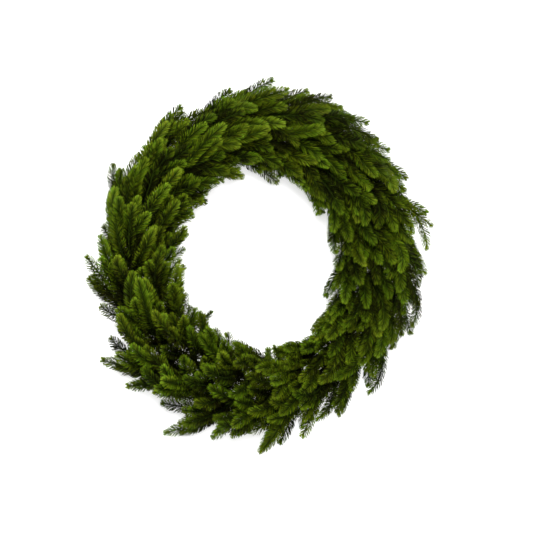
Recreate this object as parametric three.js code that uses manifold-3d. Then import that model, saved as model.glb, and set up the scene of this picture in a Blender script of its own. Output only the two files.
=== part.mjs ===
import * as THREE from "three";
import { mergeVertices } from "three/addons/utils/BufferGeometryUtils.js";
import Module from "manifold-3d";

// A fresh evergreen wreath that lies on its back: its front looks up (+Z), the top of the wreath is
// +Y and its right side is +X. A clamp-type wire ring carries bunches of cut fir tips, laid one
// over the other like roof tiles, all of them running clockwise round the ring.
// Lengths are millimetres, angles are degrees unless a name says otherwise.

// Driving dimensions of the wire ring.
const RING_RADIUS = 203;
const RING_WIRE = 4.4;
const CLAMP_WIRE = 2.4;
const RING_SIDES = 36;

// Driving dimensions of the greenery.
const BUNCHES = 12;
const LEADER_LENGTH = 140;
const SIDE_LENGTHS = [84, 76, 62];
const SIDE_PLACES = [0.24, 0.42, 0.6];
const SIDE_ANGLE = 43;
const SIDE_BANDS = [[0.36, 0.62], [0.49], [0.46]];
const NEEDLE_LENGTH = 19;
const LEADER_RADIUS = 2.2;
const SIDE_RADIUS = 1.8;
const BAND = 4.6;

// The four sprays of a bunch: the way each one faces round the ring's body (0 is outward, 90 is the
// front, 180 is inward), how far along the ring it starts, as a share of a bunch, how far its flat
// fan is twisted towards the front, and how the body's girth there compares with its rise.
const ROWS = [
  { name: "outer", face: 14, lag: 0, twist: 22, girth: 0.7 },
  { name: "front_outer", face: 64, lag: 0.5, twist: 4, girth: 0.88 },
  { name: "front_inner", face: 116, lag: 0, twist: -4, girth: 0.88 },
  { name: "inner", face: 166, lag: 0.5, twist: -18, girth: 0.7 },
];

// The shape of the thick body the sprays follow: how a spray's rise from the wire turns into
// distance from the ring's middle line, sideways and upward.
const SIDE_SHIFT = 0.2;
const SIDE_SCALE = 0.83;
const FRONT_SHIFT = 0.54;
const FRONT_SCALE = 0.68;
const ROOT_HEIGHT = 2.4;
const STEM_OUT = 7;
const RISE_ANGLE = 37;
const BEND_LENGTH = 26;
const SAG = 12;

const SEED = 41;
const GAP = 0.4;
const TURN = 2 * Math.PI;
const STEP = (TURN * RING_RADIUS) / BUNCHES;
const CLAMP_PLACE = -7;
const FIRST_BUNCH = 0.85;
const rad = THREE.MathUtils.degToRad;

// A seeded draw between 0 and 1 for any list of whole numbers.
function draw(...keys) {
  let h = SEED;
  for (const key of keys) {
    h = Math.imul(h ^ (key + 1), 2654435761) >>> 0;
    h ^= h >>> 15;
  }
  h = Math.imul(h ^ (h >>> 13), 2246822519) >>> 0;
  h = (h ^ (h >>> 16)) >>> 0;
  return h / 2 ** 32;
}

// The same between -1 and 1.
function spread(...keys) {
  return 2 * draw(...keys) - 1;
}

// How much farther than elsewhere the greenery stands out at an angle round the wreath, clockwise
// from its top: the wreath is a little fuller at its upper right and its lower left.
function reach(angle) {
  const sway = 0.03 * Math.cos(angle - 2.3) + 0.09 * Math.cos(2 * angle - 1.8);
  return sway + 0.045 * Math.cos(3 * angle - 4) + 0.02 * Math.cos(4 * angle - 2.2);
}

// The body is broader than round: how far a facing angle stands to the side.
function broad(face) {
  const c = Math.cos(face);
  return c * (1.25 - 0.25 * c * c);
}

// The point at a distance along the ring, a rise from the wire and a facing angle in radians.
function place(along, rise, face) {
  const angle = along / RING_RADIUS;
  const wide = rise + (rise - STEM_OUT) * reach(angle);
  const high = rise + (rise - STEM_OUT) * reach(angle) * 0.4;
  const out = RING_RADIUS + wide * (SIDE_SHIFT + SIDE_SCALE * broad(face));
  const up = ROOT_HEIGHT + high * (FRONT_SHIFT + FRONT_SCALE * Math.sin(face));
  const drop = SAG * (rise / 90) ** 2;
  return new THREE.Vector3(out * Math.sin(angle), out * Math.cos(angle) - drop, up);
}

// The direction that looks straight out of the greenery there.
function outward(along, face) {
  const angle = along / RING_RADIUS;
  const across = FRONT_SCALE * Math.cos(face);
  const height = SIDE_SCALE * Math.sin(face) * (1.25 - 0.75 * Math.cos(face) ** 2);
  const way = new THREE.Vector3(across * Math.sin(angle), across * Math.cos(angle), height);
  return way.normalize();
}

// How far a branch has risen from the wire after a run along it.
function riseAfter(run) {
  if (run <= 0) return STEM_OUT;
  return STEM_OUT + Math.tan(rad(RISE_ANGLE)) * (Math.hypot(run, BEND_LENGTH) - BEND_LENGTH);
}

function smooth(t) {
  const s = Math.min(1, Math.max(0, t));
  return s * s * (3 - 2 * s);
}

// The drawn sizes of one spray.
function sprayPlan(bunch, row) {
  return {
    bunch,
    row,
    start: STEP * (bunch + FIRST_BUNCH + ROWS[row].lag) + 6 * spread(bunch, row, 1),
    base: rad(ROWS[row].face),
    turn: rad(6) * spread(bunch, row, 2),
    lift: 0.06 * spread(bunch, row, 3),
    length: LEADER_LENGTH * (1 + 0.08 * spread(bunch, row, 4)),
    sway: rad(7) * spread(bunch, row, 5),
    twist: rad(ROWS[row].twist + 6 * spread(bunch, row, 8)),
  };
}

// A place on a spray's leader: the run past its start, the rise and the facing angle.
function leaderAt(plan, run) {
  const settle = smooth(run / 45);
  const along = Math.max(0, run / plan.length);
  return {
    run,
    rise: riseAfter(run) * (1 + plan.lift * settle),
    face: plan.base + plan.turn * settle + plan.sway * along * along,
  };
}

// The drawn sizes of one side shoot of a spray.
function sidePlan(plan, pair, side) {
  const key = 20 + 2 * pair + (side > 0 ? 1 : 0);
  const { bunch, row } = plan;
  return {
    pair,
    side,
    from: plan.length * SIDE_PLACES[pair] + 4 * spread(bunch, row, 10 + pair),
    length: SIDE_LENGTHS[pair] * (1 + 0.14 * spread(bunch, row, key, 1)),
    angle: rad(SIDE_ANGLE + 6 * spread(bunch, row, key, 2)),
    straighten: 0.25 + 0.25 * draw(bunch, row, key, 3),
    lift: 0.07 * spread(bunch, row, key, 4),
  };
}

// A place on a side shoot at a share of its length: it leaves the leader at an angle and bends
// forward, close to the surface that its leader follows.
function sideAt(plan, shoot, share) {
  const left = shoot.angle * (1 - shoot.straighten * share);
  const bend = shoot.angle * shoot.straighten;
  const ahead = (shoot.length * (Math.sin(shoot.angle) - Math.sin(left))) / bend;
  const aside = (shoot.length * (Math.cos(left) - Math.cos(shoot.angle))) / bend;
  const foot = leaderAt(plan, shoot.from);
  const run = shoot.from + ahead;
  const level = leaderAt(plan, run).rise * (1 + shoot.lift * share);
  const rise = level - shoot.side * aside * Math.sin(plan.twist);
  const girth = ROWS[plan.row].girth * level + 8;
  const face = foot.face + (shoot.side * aside * Math.cos(plan.twist)) / girth;
  return { run, rise, face };
}

// The point, forward direction, outward direction and sideways direction of a place.
function frameOf(plan, placeOf, at, step) {
  const here = placeOf(at);
  const before = placeOf(at - step);
  const after = placeOf(at + step);
  const pointOf = (p) => place(plan.start + p.run, p.rise, p.face);
  const forward = pointOf(after).sub(pointOf(before)).normalize();
  const normal = outward(plan.start + here.run, here.face);
  normal.addScaledVector(forward, -normal.dot(forward)).normalize();
  normal.applyAxisAngle(forward, plan.twist * smooth(here.run / 34));
  const across = new THREE.Vector3().crossVectors(forward, normal);
  return { point: pointOf(here), forward, normal, across };
}

// A closed surface that grows by rings of three points; each ring is turned 60 degrees from the
// last one, so that six facets lie between two rings, and any facet may be raised into a needle.
class Growth {
  constructor() {
    this.points = [];
    this.faces = [];
  }

  add(point) {
    this.points.push(point);
    return this.points.length - 1;
  }

  ring(frame, radius, turn) {
    return [0, 1, 2].map((k) => {
      const a = turn + (k * TURN) / 3;
      const p = frame.point.clone();
      p.addScaledVector(frame.normal, radius * Math.cos(a));
      p.addScaledVector(frame.across, radius * Math.sin(a));
      return this.add(p);
    });
  }

  // The six facets between two rings, each with the angle it faces.
  band(first, second, turn) {
    const facets = [];
    for (let k = 0; k < 3; k++) {
      const next = (k + 1) % 3;
      const wide = turn + TURN / 6 + (k * TURN) / 3;
      const narrow = turn + ((k + 1) * TURN) / 3;
      facets.push({ corners: [first[k], first[next], second[k]], face: wide });
      facets.push({ corners: [first[next], second[next], second[k]], face: narrow });
    }
    return facets;
  }

  close(facets) {
    for (const facet of facets) this.faces.push(facet.corners);
  }

  middle(corners) {
    const sum = new THREE.Vector3();
    for (const c of corners) sum.add(this.points[c]);
    return sum.divideScalar(3);
  }

  raise(corners, tip) {
    const apex = this.add(tip);
    const [a, b, c] = corners;
    this.faces.push([a, b, apex], [b, c, apex], [c, a, apex]);
  }

  mesh(name, colour) {
    const geometry = new THREE.BufferGeometry();
    const flat = this.points.flatMap((p) => [p.x, p.y, p.z]);
    geometry.setAttribute("position", new THREE.Float32BufferAttribute(flat, 3));
    geometry.setIndex(this.faces.flat());
    geometry.computeVertexNormals();
    const look = new THREE.MeshStandardMaterial({ color: colour, roughness: 0.6 });
    const mesh = new THREE.Mesh(geometry, look);
    mesh.name = name;
    return mesh;
  }
}

// The rods that are already in the wreath, so that a new needle can be bent clear of them.
const rods = [];

function addRod(from, to, thickFrom, thickTo, owner, band) {
  const box = new THREE.Box3().setFromPoints([from, to]).expandByScalar(Math.max(thickFrom, thickTo));
  rods.push({ from, to, thickFrom, thickTo, owner, band, box });
}

// The nearest places of two straight lines, as shares of their lengths.
function nearest(a, b) {
  const u = a.to.clone().sub(a.from);
  const v = b.to.clone().sub(b.from);
  const w = a.from.clone().sub(b.from);
  const uu = u.dot(u);
  const uv = u.dot(v);
  const vv = v.dot(v);
  const uw = u.dot(w);
  const vw = v.dot(w);
  const below = uu * vv - uv * uv;
  let s = below > 1e-9 ? (uv * vw - vv * uw) / below : 0;
  s = Math.min(1, Math.max(0, s));
  let t = (uv * s + vw) / vv;
  t = Math.min(1, Math.max(0, t));
  s = Math.min(1, Math.max(0, (uv * t - uw) / uu));
  return { s, t };
}

function tooClose(a, b, s, t) {
  const p = a.from.clone().lerp(a.to, s);
  const q = b.from.clone().lerp(b.to, t);
  const thickA = a.thickFrom + (a.thickTo - a.thickFrom) * s;
  const thickB = b.thickFrom + (b.thickTo - b.thickFrom) * t;
  return p.distanceTo(q) < thickA + thickB + GAP;
}

// Whether a needle keeps its distance from every other rod and from the surface below.
function isClear(needle, owner, bands) {
  if (needle.to.z < 0.6) return false;
  for (const rod of rods) {
    if (rod.owner === owner && bands.includes(rod.band)) continue;
    if (!rod.box.intersectsBox(needle.box)) continue;
    const { s, t } = nearest(needle, rod);
    const places = [
      [s, t],
      [0.15, t],
      [s, 0.15],
      [0.5, t],
      [s, 0.5],
    ];
    if (places.some(([i, j]) => tooClose(needle, rod, i, j))) return false;
  }
  return true;
}

// The needle that a facet can carry: its full length first, then bent, then shorter.
const NEEDLE_WAYS = [
  [1, 1],
  [0.8, 1],
  [1.2, 1],
  [0.6, 1],
  [1, 0.8],
  [0.7, 0.8],
  [1.3, 0.8],
  [0.8, 0.62],
  [1.2, 0.62],
];

function needleOn(growth, facet, frame, owner, bands, slope) {
  const root = growth.middle(facet.corners);
  const flat = Math.abs(Math.sin(facet.face));
  for (const [lean, size] of NEEDLE_WAYS) {
    const pitch = rad(slope) * (0.68 + 0.32 * flat) * lean;
    const length = NEEDLE_LENGTH * (0.84 + 0.16 * flat) * size;
    const way = new THREE.Vector3();
    way.addScaledVector(frame.forward, Math.cos(pitch));
    way.addScaledVector(frame.normal, Math.sin(pitch) * Math.cos(facet.face));
    way.addScaledVector(frame.across, Math.sin(pitch) * Math.sin(facet.face));
    const tip = root.clone().addScaledVector(way, length);
    const box = new THREE.Box3().setFromPoints([root, tip]).expandByScalar(2);
    const needle = { from: root, to: tip, thickFrom: 2, thickTo: 0.05, box };
    if (!isClear(needle, owner, bands)) continue;
    addRod(root, tip, 2, 0.05, owner, bands[0]);
    growth.raise(facet.corners, tip);
    return true;
  }
  growth.close([facet]);
  return false;
}

// The stations of a leader: the cut end, the bare stem held by the clamp, the three forks, a band
// of needles and the tip.
function leaderStations(plan) {
  const clamp = STEP * (plan.bunch + FIRST_BUNCH) + CLAMP_PLACE - plan.start;
  const cut = clamp - 13 - 6 * draw(plan.bunch, plan.row, 6);
  const stations = [{ run: cut, kind: "bare" }];
  if (ROWS[plan.row].lag > 0) stations.push({ run: clamp + 22, kind: "bare" });
  stations.push({ run: 7, kind: "bare" });
  for (let pair = 0; pair < 3; pair++) {
    const from = sidePlan(plan, pair, 1).from;
    stations.push({ run: from - BAND / 2, kind: "fork", pair });
    stations.push({ run: from + BAND / 2, kind: "bare" });
  }
  stations.push({ run: 0.77 * plan.length, kind: "needles" });
  stations.push({ run: 0.77 * plan.length + BAND, kind: "bare" });
  stations.push({ run: 0.9 * plan.length - BAND, kind: "tip" });
  return stations;
}

// The whole of one spray: the core is laid first, so that all needles know all cores.
function layCore(plan, owner) {
  const growth = new Growth();
  const jobs = [];
  const turn = rad(30);
  const stations = leaderStations(plan);
  let last = null;
  let lastFrame = null;
  stations.forEach((station, k) => {
    const share = Math.max(0, station.run / plan.length);
    const radius = LEADER_RADIUS * (1 - 0.4 * share);
    const frame = frameOf(plan, (run) => leaderAt(plan, run), station.run, 4);
    const ring = growth.ring(frame, radius, turn + (k * TURN) / 6);
    if (k === 0) {
      growth.faces.push([ring[0], ring[2], ring[1]]);
    } else {
      const facets = growth.band(last, ring, turn + ((k - 1) * TURN) / 6);
      const kind = stations[k - 1].kind;
      addRod(lastFrame.point, frame.point, radius, radius, owner, "leader" + k);
      if (kind === "fork") {
        forkJobs(plan, owner, growth, facets, frame, stations[k - 1].pair, "leader" + k, jobs);
      } else if (kind === "needles") {
        jobs.push({ facets, frame, slope: 48, bands: ["leader" + k, "leader" + (k + 1)] });
      } else {
        growth.close(facets);
      }
    }
    last = ring;
    lastFrame = frame;
  });
  const ringTurn = turn + ((stations.length - 1) * TURN) / 6;
  tipJobs(growth, last, lastFrame, ringTurn, owner, "leader" + stations.length, jobs);
  return { growth, jobs, owner };
}

// Between the two rings of a fork the facets that look sideways grow on as side shoots and the
// other four carry needles.
function forkJobs(plan, owner, growth, facets, frame, pair, band, jobs) {
  const needles = [];
  for (const facet of facets) {
    const sideways = Math.sin(facet.face);
    if (Math.abs(sideways) < 0.9) {
      needles.push(facet);
      continue;
    }
    const side = sideways > 0 ? 1 : -1;
    const name = band + (side > 0 ? "right" : "left");
    layShoot(plan, owner, growth, facet.corners, sidePlan(plan, pair, side), name, jobs);
  }
  jobs.push({ facets: needles, frame, slope: 44, bands: [band, band + "right0", band + "left0"] });
}

// A side shoot: its slim core, one or two bands of needles on the way and a tuft at the tip.
function layShoot(plan, owner, growth, corners, shoot, name, jobs) {
  const frameAt = (share) => frameOf(plan, (s) => sideAt(plan, shoot, s), share, 0.04);
  const step = BAND / shoot.length;
  const shares = SIDE_BANDS[shoot.pair].flatMap((share) => [share, share + step]);
  shares.push(0.84 - step);
  const first = frameAt(shares[0]);
  const edge = growth.points[corners[0]].clone().add(growth.points[corners[1]]).multiplyScalar(0.5);
  const offset = edge.sub(growth.middle(corners));
  const turn = Math.atan2(offset.dot(first.across), offset.dot(first.normal));
  let last = corners;
  let lastPoint = growth.middle(corners);
  shares.forEach((share, k) => {
    const frame = frameAt(share);
    const radius = SIDE_RADIUS * (1 - 0.35 * share);
    const ring = growth.ring(frame, radius, turn + (k * TURN) / 6);
    const facets = growth.band(last, ring, turn + ((k - 1) * TURN) / 6);
    addRod(lastPoint, frame.point, radius, radius, owner, name + k);
    const bands = [name + k, name + (k + 1), name + (k - 1)];
    if (k % 2 === 1) jobs.push({ facets, frame, slope: 50, bands });
    else growth.close(facets);
    last = ring;
    lastPoint = frame.point;
  });
  const count = shares.length;
  const end = frameAt(shares[count - 1]);
  tipJobs(growth, last, end, turn + ((count - 1) * TURN) / 6, owner, name + count, jobs);
}

// The end of a stem: a short bud whose three facets carry the last needles.
function tipJobs(growth, ring, frame, turn, owner, band, jobs) {
  const bud = frame.point.clone().addScaledVector(frame.forward, BAND + 1);
  const apex = growth.add(bud);
  const facets = [0, 1, 2].map((k) => ({
    corners: [ring[k], ring[(k + 1) % 3], apex],
    face: turn + TURN / 6 + (k * TURN) / 3,
  }));
  addRod(frame.point, bud, 0.8, 0.2, owner, band);
  jobs.push({ facets, frame, slope: 34, bands: [band, band.replace(/\d+$/, (n) => n - 1)] });
}

// The ring wire with its flat underside, as rods for the needles to keep clear of.
function layRingRods() {
  const sides = 48;
  for (let k = 0; k < sides; k++) {
    const points = [k, k + 1].map((n) => {
      const a = (n * TURN) / sides;
      return new THREE.Vector3(RING_RADIUS * Math.sin(a), RING_RADIUS * Math.cos(a), RING_WIRE / 2);
    });
    addRod(points[0], points[1], 2.6, 2.6, "frame", "ring");
  }
}

// The middle line of a clamp across the ring: two prongs that rise beside the stems and are folded
// over them, as distance from the ring's middle line and height.
const CLAMP_FLOOR = 4;
const CLAMP_ROOF = 14.4;
const CLAMP_LINE = [
  [0.2, CLAMP_ROOF],
  [-9, CLAMP_ROOF],
  [-9, CLAMP_FLOOR],
  [10.9, CLAMP_FLOOR],
  [10.9, CLAMP_ROOF],
  [2.6, CLAMP_ROOF],
];

function clampAngle(bunch) {
  return (STEP * (bunch + FIRST_BUNCH) + CLAMP_PLACE) / RING_RADIUS;
}

function layClampRods() {
  for (let bunch = 0; bunch < BUNCHES; bunch++) {
    const a = clampAngle(bunch);
    const points = CLAMP_LINE.map(([across, up]) => {
      const out = RING_RADIUS + across;
      return new THREE.Vector3(out * Math.sin(a), out * Math.cos(a), up);
    });
    for (let k = 1; k < points.length; k++) {
      addRod(points[k - 1], points[k], 1.7, 1.7, "frame", "clamp");
    }
  }
}

// The outline of a strip of a given half width round a line in the plane.
function stripOutline(line, half) {
  const sides = [[], []];
  line.forEach((point, k) => {
    const before = line[Math.max(0, k - 1)];
    const after = line[Math.min(line.length - 1, k + 1)];
    const here = new THREE.Vector2(...point);
    const into = here.clone().sub(new THREE.Vector2(...before)).normalize();
    const away = new THREE.Vector2(...after).sub(here).normalize();
    if (k === 0) into.copy(away);
    if (k === line.length - 1) away.copy(into);
    const mean = into.clone().add(away).normalize();
    const across = new THREE.Vector2(-mean.y, mean.x);
    const wide = half / mean.dot(into);
    sides[0].push(here.clone().addScaledVector(across, wide).toArray());
    sides[1].unshift(here.clone().addScaledVector(across, -wide).toArray());
  });
  return [...sides[0], ...sides[1]];
}

// A closed three.js geometry as a solid that can be joined to another.
function solidOf(wasm, geometry) {
  geometry.deleteAttribute("normal");
  geometry.deleteAttribute("uv");
  const merged = mergeVertices(geometry, 1e-4);
  const places = merged.getAttribute("position").array;
  const triVerts = new Uint32Array(merged.index.array);
  return new wasm.Manifold(new wasm.Mesh({ numProp: 3, vertProperties: places, triVerts }));
}

// The round wire of the ring, flattened underneath where it rests.
function ringGeometry() {
  const r = RING_WIRE / 2;
  const corners = [
    [-0.55 * r, -r],
    [0.55 * r, -r],
    [r, 0],
    [0.55 * r, r],
    [-0.55 * r, r],
    [-r, 0],
    [-0.55 * r, -r],
  ];
  const profile = corners.map(([x, y]) => new THREE.Vector2(RING_RADIUS + x, r + y));
  return new THREE.LatheGeometry(profile, RING_SIDES).rotateX(Math.PI / 2);
}

// One clamp: a wire bent round a bunch's stems, at its own place on the ring.
function clampGeometry(bunch) {
  const outline = stripOutline(CLAMP_LINE, CLAMP_WIRE / 2);
  const shape = new THREE.Shape(outline.map(([x, y]) => new THREE.Vector2(RING_RADIUS + x, y)));
  const options = { depth: CLAMP_WIRE, bevelEnabled: false, steps: 1 };
  const clamp = new THREE.ExtrudeGeometry(shape, options);
  clamp.translate(0, 0, -CLAMP_WIRE / 2).rotateX(Math.PI / 2);
  return clamp.rotateZ(Math.PI / 2 - clampAngle(bunch));
}

// The wire ring with a clamp welded on for each bunch.
async function frameMesh() {
  const wasm = await Module();
  wasm.setup();
  let frame = solidOf(wasm, ringGeometry());
  for (let bunch = 0; bunch < BUNCHES; bunch++) {
    frame = frame.add(solidOf(wasm, clampGeometry(bunch)));
  }
  const data = frame.getMesh();
  const geometry = new THREE.BufferGeometry();
  const places = new Float32Array(data.numVert * 3);
  for (let k = 0; k < data.numVert; k++) {
    places.set(data.vertProperties.subarray(k * data.numProp, k * data.numProp + 3), k * 3);
  }
  geometry.setAttribute("position", new THREE.BufferAttribute(places, 3));
  geometry.setIndex([...data.triVerts]);
  geometry.computeVertexNormals();
  const look = new THREE.MeshStandardMaterial({ color: 0x3c4a3a, roughness: 0.5, metalness: 0.7 });
  const mesh = new THREE.Mesh(geometry, look);
  mesh.name = "wire_ring_frame";
  return mesh;
}

// The colour of a spray: a deep green, a little lighter or yellower from spray to spray.
function sprayColour(bunch, row) {
  const light = 0.5 + 0.5 * draw(bunch, row, 7);
  return new THREE.Color().setRGB(0.1 + 0.1 * light, 0.2 + 0.12 * light, 0.03);
}

// The greenery: every core first, then every needle, in a fixed order.
layRingRods();
layClampRods();
const sprays = [];
for (let bunch = 0; bunch < BUNCHES; bunch++) {
  for (let row = 0; row < ROWS.length; row++) {
    const number = String(bunch + 1).padStart(2, "0");
    const owner = "spray_" + number + "_" + ROWS[row].name;
    sprays.push({ ...layCore(sprayPlan(bunch, row), owner), bunch, row });
  }
}
for (const spray of sprays) {
  for (const job of spray.jobs) {
    for (const facet of job.facets) {
      needleOn(spray.growth, facet, job.frame, spray.owner, job.bands, job.slope);
    }
  }
}

const wreath = new THREE.Group();
wreath.name = "evergreen_wreath";
wreath.add(await frameMesh());
for (const spray of sprays) {
  wreath.add(spray.growth.mesh(spray.owner, sprayColour(spray.bunch, spray.row)));
}

// The origin is in the middle of the finished outline, on the surface the wreath lies on.
const bounds = new THREE.Box3().setFromObject(wreath, true);
const middle = bounds.getCenter(new THREE.Vector3());
for (const mesh of wreath.children) mesh.geometry.translate(-middle.x, -middle.y, -bounds.min.z);

export default wreath;
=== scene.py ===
import math
from functools import partial

import bpy
from mathutils import Matrix, Vector


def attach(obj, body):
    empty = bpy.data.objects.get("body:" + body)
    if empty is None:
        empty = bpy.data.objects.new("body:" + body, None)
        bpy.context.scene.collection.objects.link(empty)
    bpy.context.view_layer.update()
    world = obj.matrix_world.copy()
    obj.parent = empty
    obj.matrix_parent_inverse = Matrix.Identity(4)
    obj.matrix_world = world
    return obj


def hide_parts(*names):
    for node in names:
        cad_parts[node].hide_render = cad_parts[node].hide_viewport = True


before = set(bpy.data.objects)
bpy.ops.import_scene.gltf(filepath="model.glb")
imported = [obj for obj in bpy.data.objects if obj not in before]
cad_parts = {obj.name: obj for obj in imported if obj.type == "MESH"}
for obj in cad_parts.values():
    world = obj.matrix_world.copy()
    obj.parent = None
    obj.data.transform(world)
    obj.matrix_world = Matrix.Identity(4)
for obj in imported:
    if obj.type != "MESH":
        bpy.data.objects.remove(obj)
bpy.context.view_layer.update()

# --- The wire ring -----------------------------------------------------------------------------
# A clamp ring, as wreath makers use: steel wire 4.4 mm thick, bent to a circle 406 mm across, butt
# welded and dipped in green enamel. The greenery hides it, and it shows only from behind.

RING_RADIUS = 0.203
RING_WIRE = 0.0044
RING_POINTS = 144
RING_SIDES = 12
BEND_STEPS = 5
ON_THE_TABLE = 1e-6
ENAMEL_DARK = (0.008, 0.028, 0.010, 1)
ENAMEL_PALE = (0.022, 0.060, 0.020, 1)
RUST = (0.060, 0.022, 0.008, 1)


def ring_middle():
    """The centre of the ring, from the flat that runs round the underside of the CAD ring."""
    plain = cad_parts["wire_ring_frame"].data
    under = {(round(v.co.x, 6), round(v.co.y, 6)) for v in plain.vertices
             if v.co.z < ON_THE_TABLE}
    return Vector((sum(x for x, y in under), sum(y for x, y in under), 0)) / len(under)


MIDDLE = ring_middle()


def new_tree(name, inputs):
    """An empty geometry tree with a geometry input and the named inputs, each with its kind."""
    tree = bpy.data.node_groups.new(name, "GeometryNodeTree")
    tree.interface.new_socket("Geometry", in_out="INPUT", socket_type="NodeSocketGeometry")
    for label, kind in inputs:
        tree.interface.new_socket(label, in_out="INPUT", socket_type="NodeSocket" + kind)
    tree.interface.new_socket("Geometry", in_out="OUTPUT", socket_type="NodeSocketGeometry")
    return tree


class Wiring:
    """Adds nodes to a tree, each with its settings and what feeds its inputs."""

    def __init__(self, tree):
        self.tree = tree

    def feed(self, node, feeds):
        """Links an input to a source that is a socket, and otherwise gives it the value."""
        for key, source in feeds.items():
            if isinstance(source, bpy.types.NodeSocket):
                self.tree.links.new(source, node.inputs[key])
            else:
                node.inputs[key].default_value = source

    def add(self, kind, feeds=None, **settings):
        node = self.tree.nodes.new(kind)
        for name, value in settings.items():
            setattr(node, name, value)
        self.feed(node, feeds or {})
        return node

    def math(self, operation, first, second=0.0, third=0.0):
        feeds = {0: first, 1: second, 2: third}
        return self.add("ShaderNodeMath", feeds, operation=operation).outputs[0]

    def vector(self, operation, first, second=(0.0, 0.0, 0.0)):
        feeds = {0: first, 1: second}
        return self.add("ShaderNodeVectorMath", feeds, operation=operation).outputs[0]

    def scaled(self, first, factor):
        node = self.add("ShaderNodeVectorMath", {0: first, "Scale": factor}, operation="SCALE")
        return node.outputs[0]

    def dot(self, first, second):
        feeds = {0: first, 1: second}
        return self.add("ShaderNodeVectorMath", feeds, operation="DOT_PRODUCT").outputs["Value"]

    def ranged(self, value, from_min=0.0, from_max=1.0, to_min=0.0, to_max=1.0):
        """A number carried over from one range to another, and held within it."""
        feeds = {"Value": value, "From Min": from_min, "From Max": from_max,
                 "To Min": to_min, "To Max": to_max}
        return self.add("ShaderNodeMapRange", feeds).outputs[0]

    def mixed(self, factor, first, second):
        """A colour between two others."""
        feeds = {"Factor": factor, 6: first, 7: second}
        return self.add("ShaderNodeMix", feeds, data_type="RGBA").outputs[2]

    def noise(self, where, scale, detail):
        feeds = {"Vector": where, "Scale": scale, "Detail": detail}
        return self.add("ShaderNodeTexNoise", feeds).outputs["Fac"]

    def bump(self, height, strength, distance):
        feeds = {"Height": height, "Strength": strength, "Distance": distance}
        return self.add("ShaderNodeBump", feeds).outputs[0]


def new_material(name):
    """A material, the wiring for its tree and its surface shader."""
    material = bpy.data.materials.new(name)
    material.use_nodes = True
    return material, Wiring(material.node_tree), material.node_tree.nodes["Principled BSDF"]


def mesh_from_tree(name, source, tree, values):
    """Runs a tree on an object and keeps the result as a plain mesh object of its own."""
    modifier = source.modifiers.new(name, "NODES")
    modifier.node_group = tree
    sockets = {item.name: item.identifier for item in tree.interface.items_tree
               if item.in_out == "INPUT"}
    for label, value in values.items():
        modifier[sockets[label]] = value
    seen = bpy.context.evaluated_depsgraph_get()
    mesh = bpy.data.meshes.new_from_object(source.evaluated_get(seen))
    mesh.name = name
    piece = bpy.data.objects.new(name, mesh)
    bpy.context.scene.collection.objects.link(piece)
    bpy.data.objects.remove(source)
    return piece


def line_object(name, lines, facts=None):
    """A mesh of edges alone that holds each line, with the named facts of each of its points."""
    mesh = bpy.data.meshes.new(name)
    points = [point for line in lines for point in line]
    edges = []
    first = 0
    for line in lines:
        edges += [(first + k, first + k + 1) for k in range(len(line) - 1)]
        first += len(line)
    mesh.from_pydata(points, edges, [])
    for label, values in (facts or {}).items():
        if isinstance(values[0], Vector):
            fact = mesh.attributes.new(label, "FLOAT_VECTOR", "POINT")
            fact.data.foreach_set("vector", [number for value in values for number in value])
        else:
            fact = mesh.attributes.new(label, "FLOAT", "POINT")
            fact.data.foreach_set("value", values)
    drawn = bpy.data.objects.new(name, mesh)
    bpy.context.scene.collection.objects.link(drawn)
    return drawn


def enamel_material():
    """Dark green dipped enamel: glossy, thick in its runs, and chipped to rust in places."""
    material, wiring, surface = new_material("green_enamel")
    where = wiring.add("ShaderNodeTexCoord").outputs["Object"]
    runs = wiring.noise(where, scale=90.0, detail=4.0)
    chips = wiring.noise(where, scale=420.0, detail=3.0)
    worn = wiring.ranged(chips, from_min=0.60, from_max=0.68)
    green = wiring.mixed(runs, ENAMEL_DARK, ENAMEL_PALE)
    wiring.feed(surface, {"Base Color": wiring.mixed(worn, green, RUST),
                          "Roughness": wiring.ranged(worn, to_min=0.28, to_max=0.75),
                          "Normal": wiring.bump(runs, strength=0.25, distance=0.0006)})
    return material


ENAMEL = enamel_material()


def wire_tree():
    """Draws wire of a round section along each line, with its bends rounded."""
    tree = new_tree("bent_wire", [("Wire radius", "Float"), ("Bend radius", "Float"),
                                  ("Sides", "Int"), ("Closed", "Bool")])
    wiring = Wiring(tree)
    given = wiring.add("NodeGroupInput").outputs
    curve = wiring.add("GeometryNodeMeshToCurve", {"Mesh": given["Geometry"]})
    curve = wiring.add("GeometryNodeSetSplineCyclic",
                       {"Geometry": curve.outputs[0], "Cyclic": given["Closed"]})
    bent = wiring.add("GeometryNodeFilletCurve",
                      {"Curve": curve.outputs[0], "Radius": given["Bend radius"],
                       "Limit Radius": True, "Count": BEND_STEPS}, mode="POLY")
    section = wiring.add("GeometryNodeCurvePrimitiveCircle",
                         {"Resolution": given["Sides"], "Radius": given["Wire radius"]})
    wire = wiring.add("GeometryNodeCurveToMesh",
                      {"Curve": bent.outputs[0], "Profile Curve": section.outputs[0],
                       "Fill Caps": True})
    wire = wiring.add("GeometryNodeSetShadeSmooth", {"Geometry": wire.outputs[0]})
    wire = wiring.add("GeometryNodeRealizeInstances", {"Geometry": wire.outputs[0]})
    wire = wiring.add("GeometryNodeSetMaterial", {"Geometry": wire.outputs[0], "Material": ENAMEL})
    wiring.add("NodeGroupOutput", {"Geometry": wire.outputs[0]})
    return tree


WIRE_TREE = wire_tree()


def ring_point(angle, radius, height):
    """A point at an angle round the wreath, clockwise from its top."""
    return MIDDLE + Vector((radius * math.sin(angle), radius * math.cos(angle), height))


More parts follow.
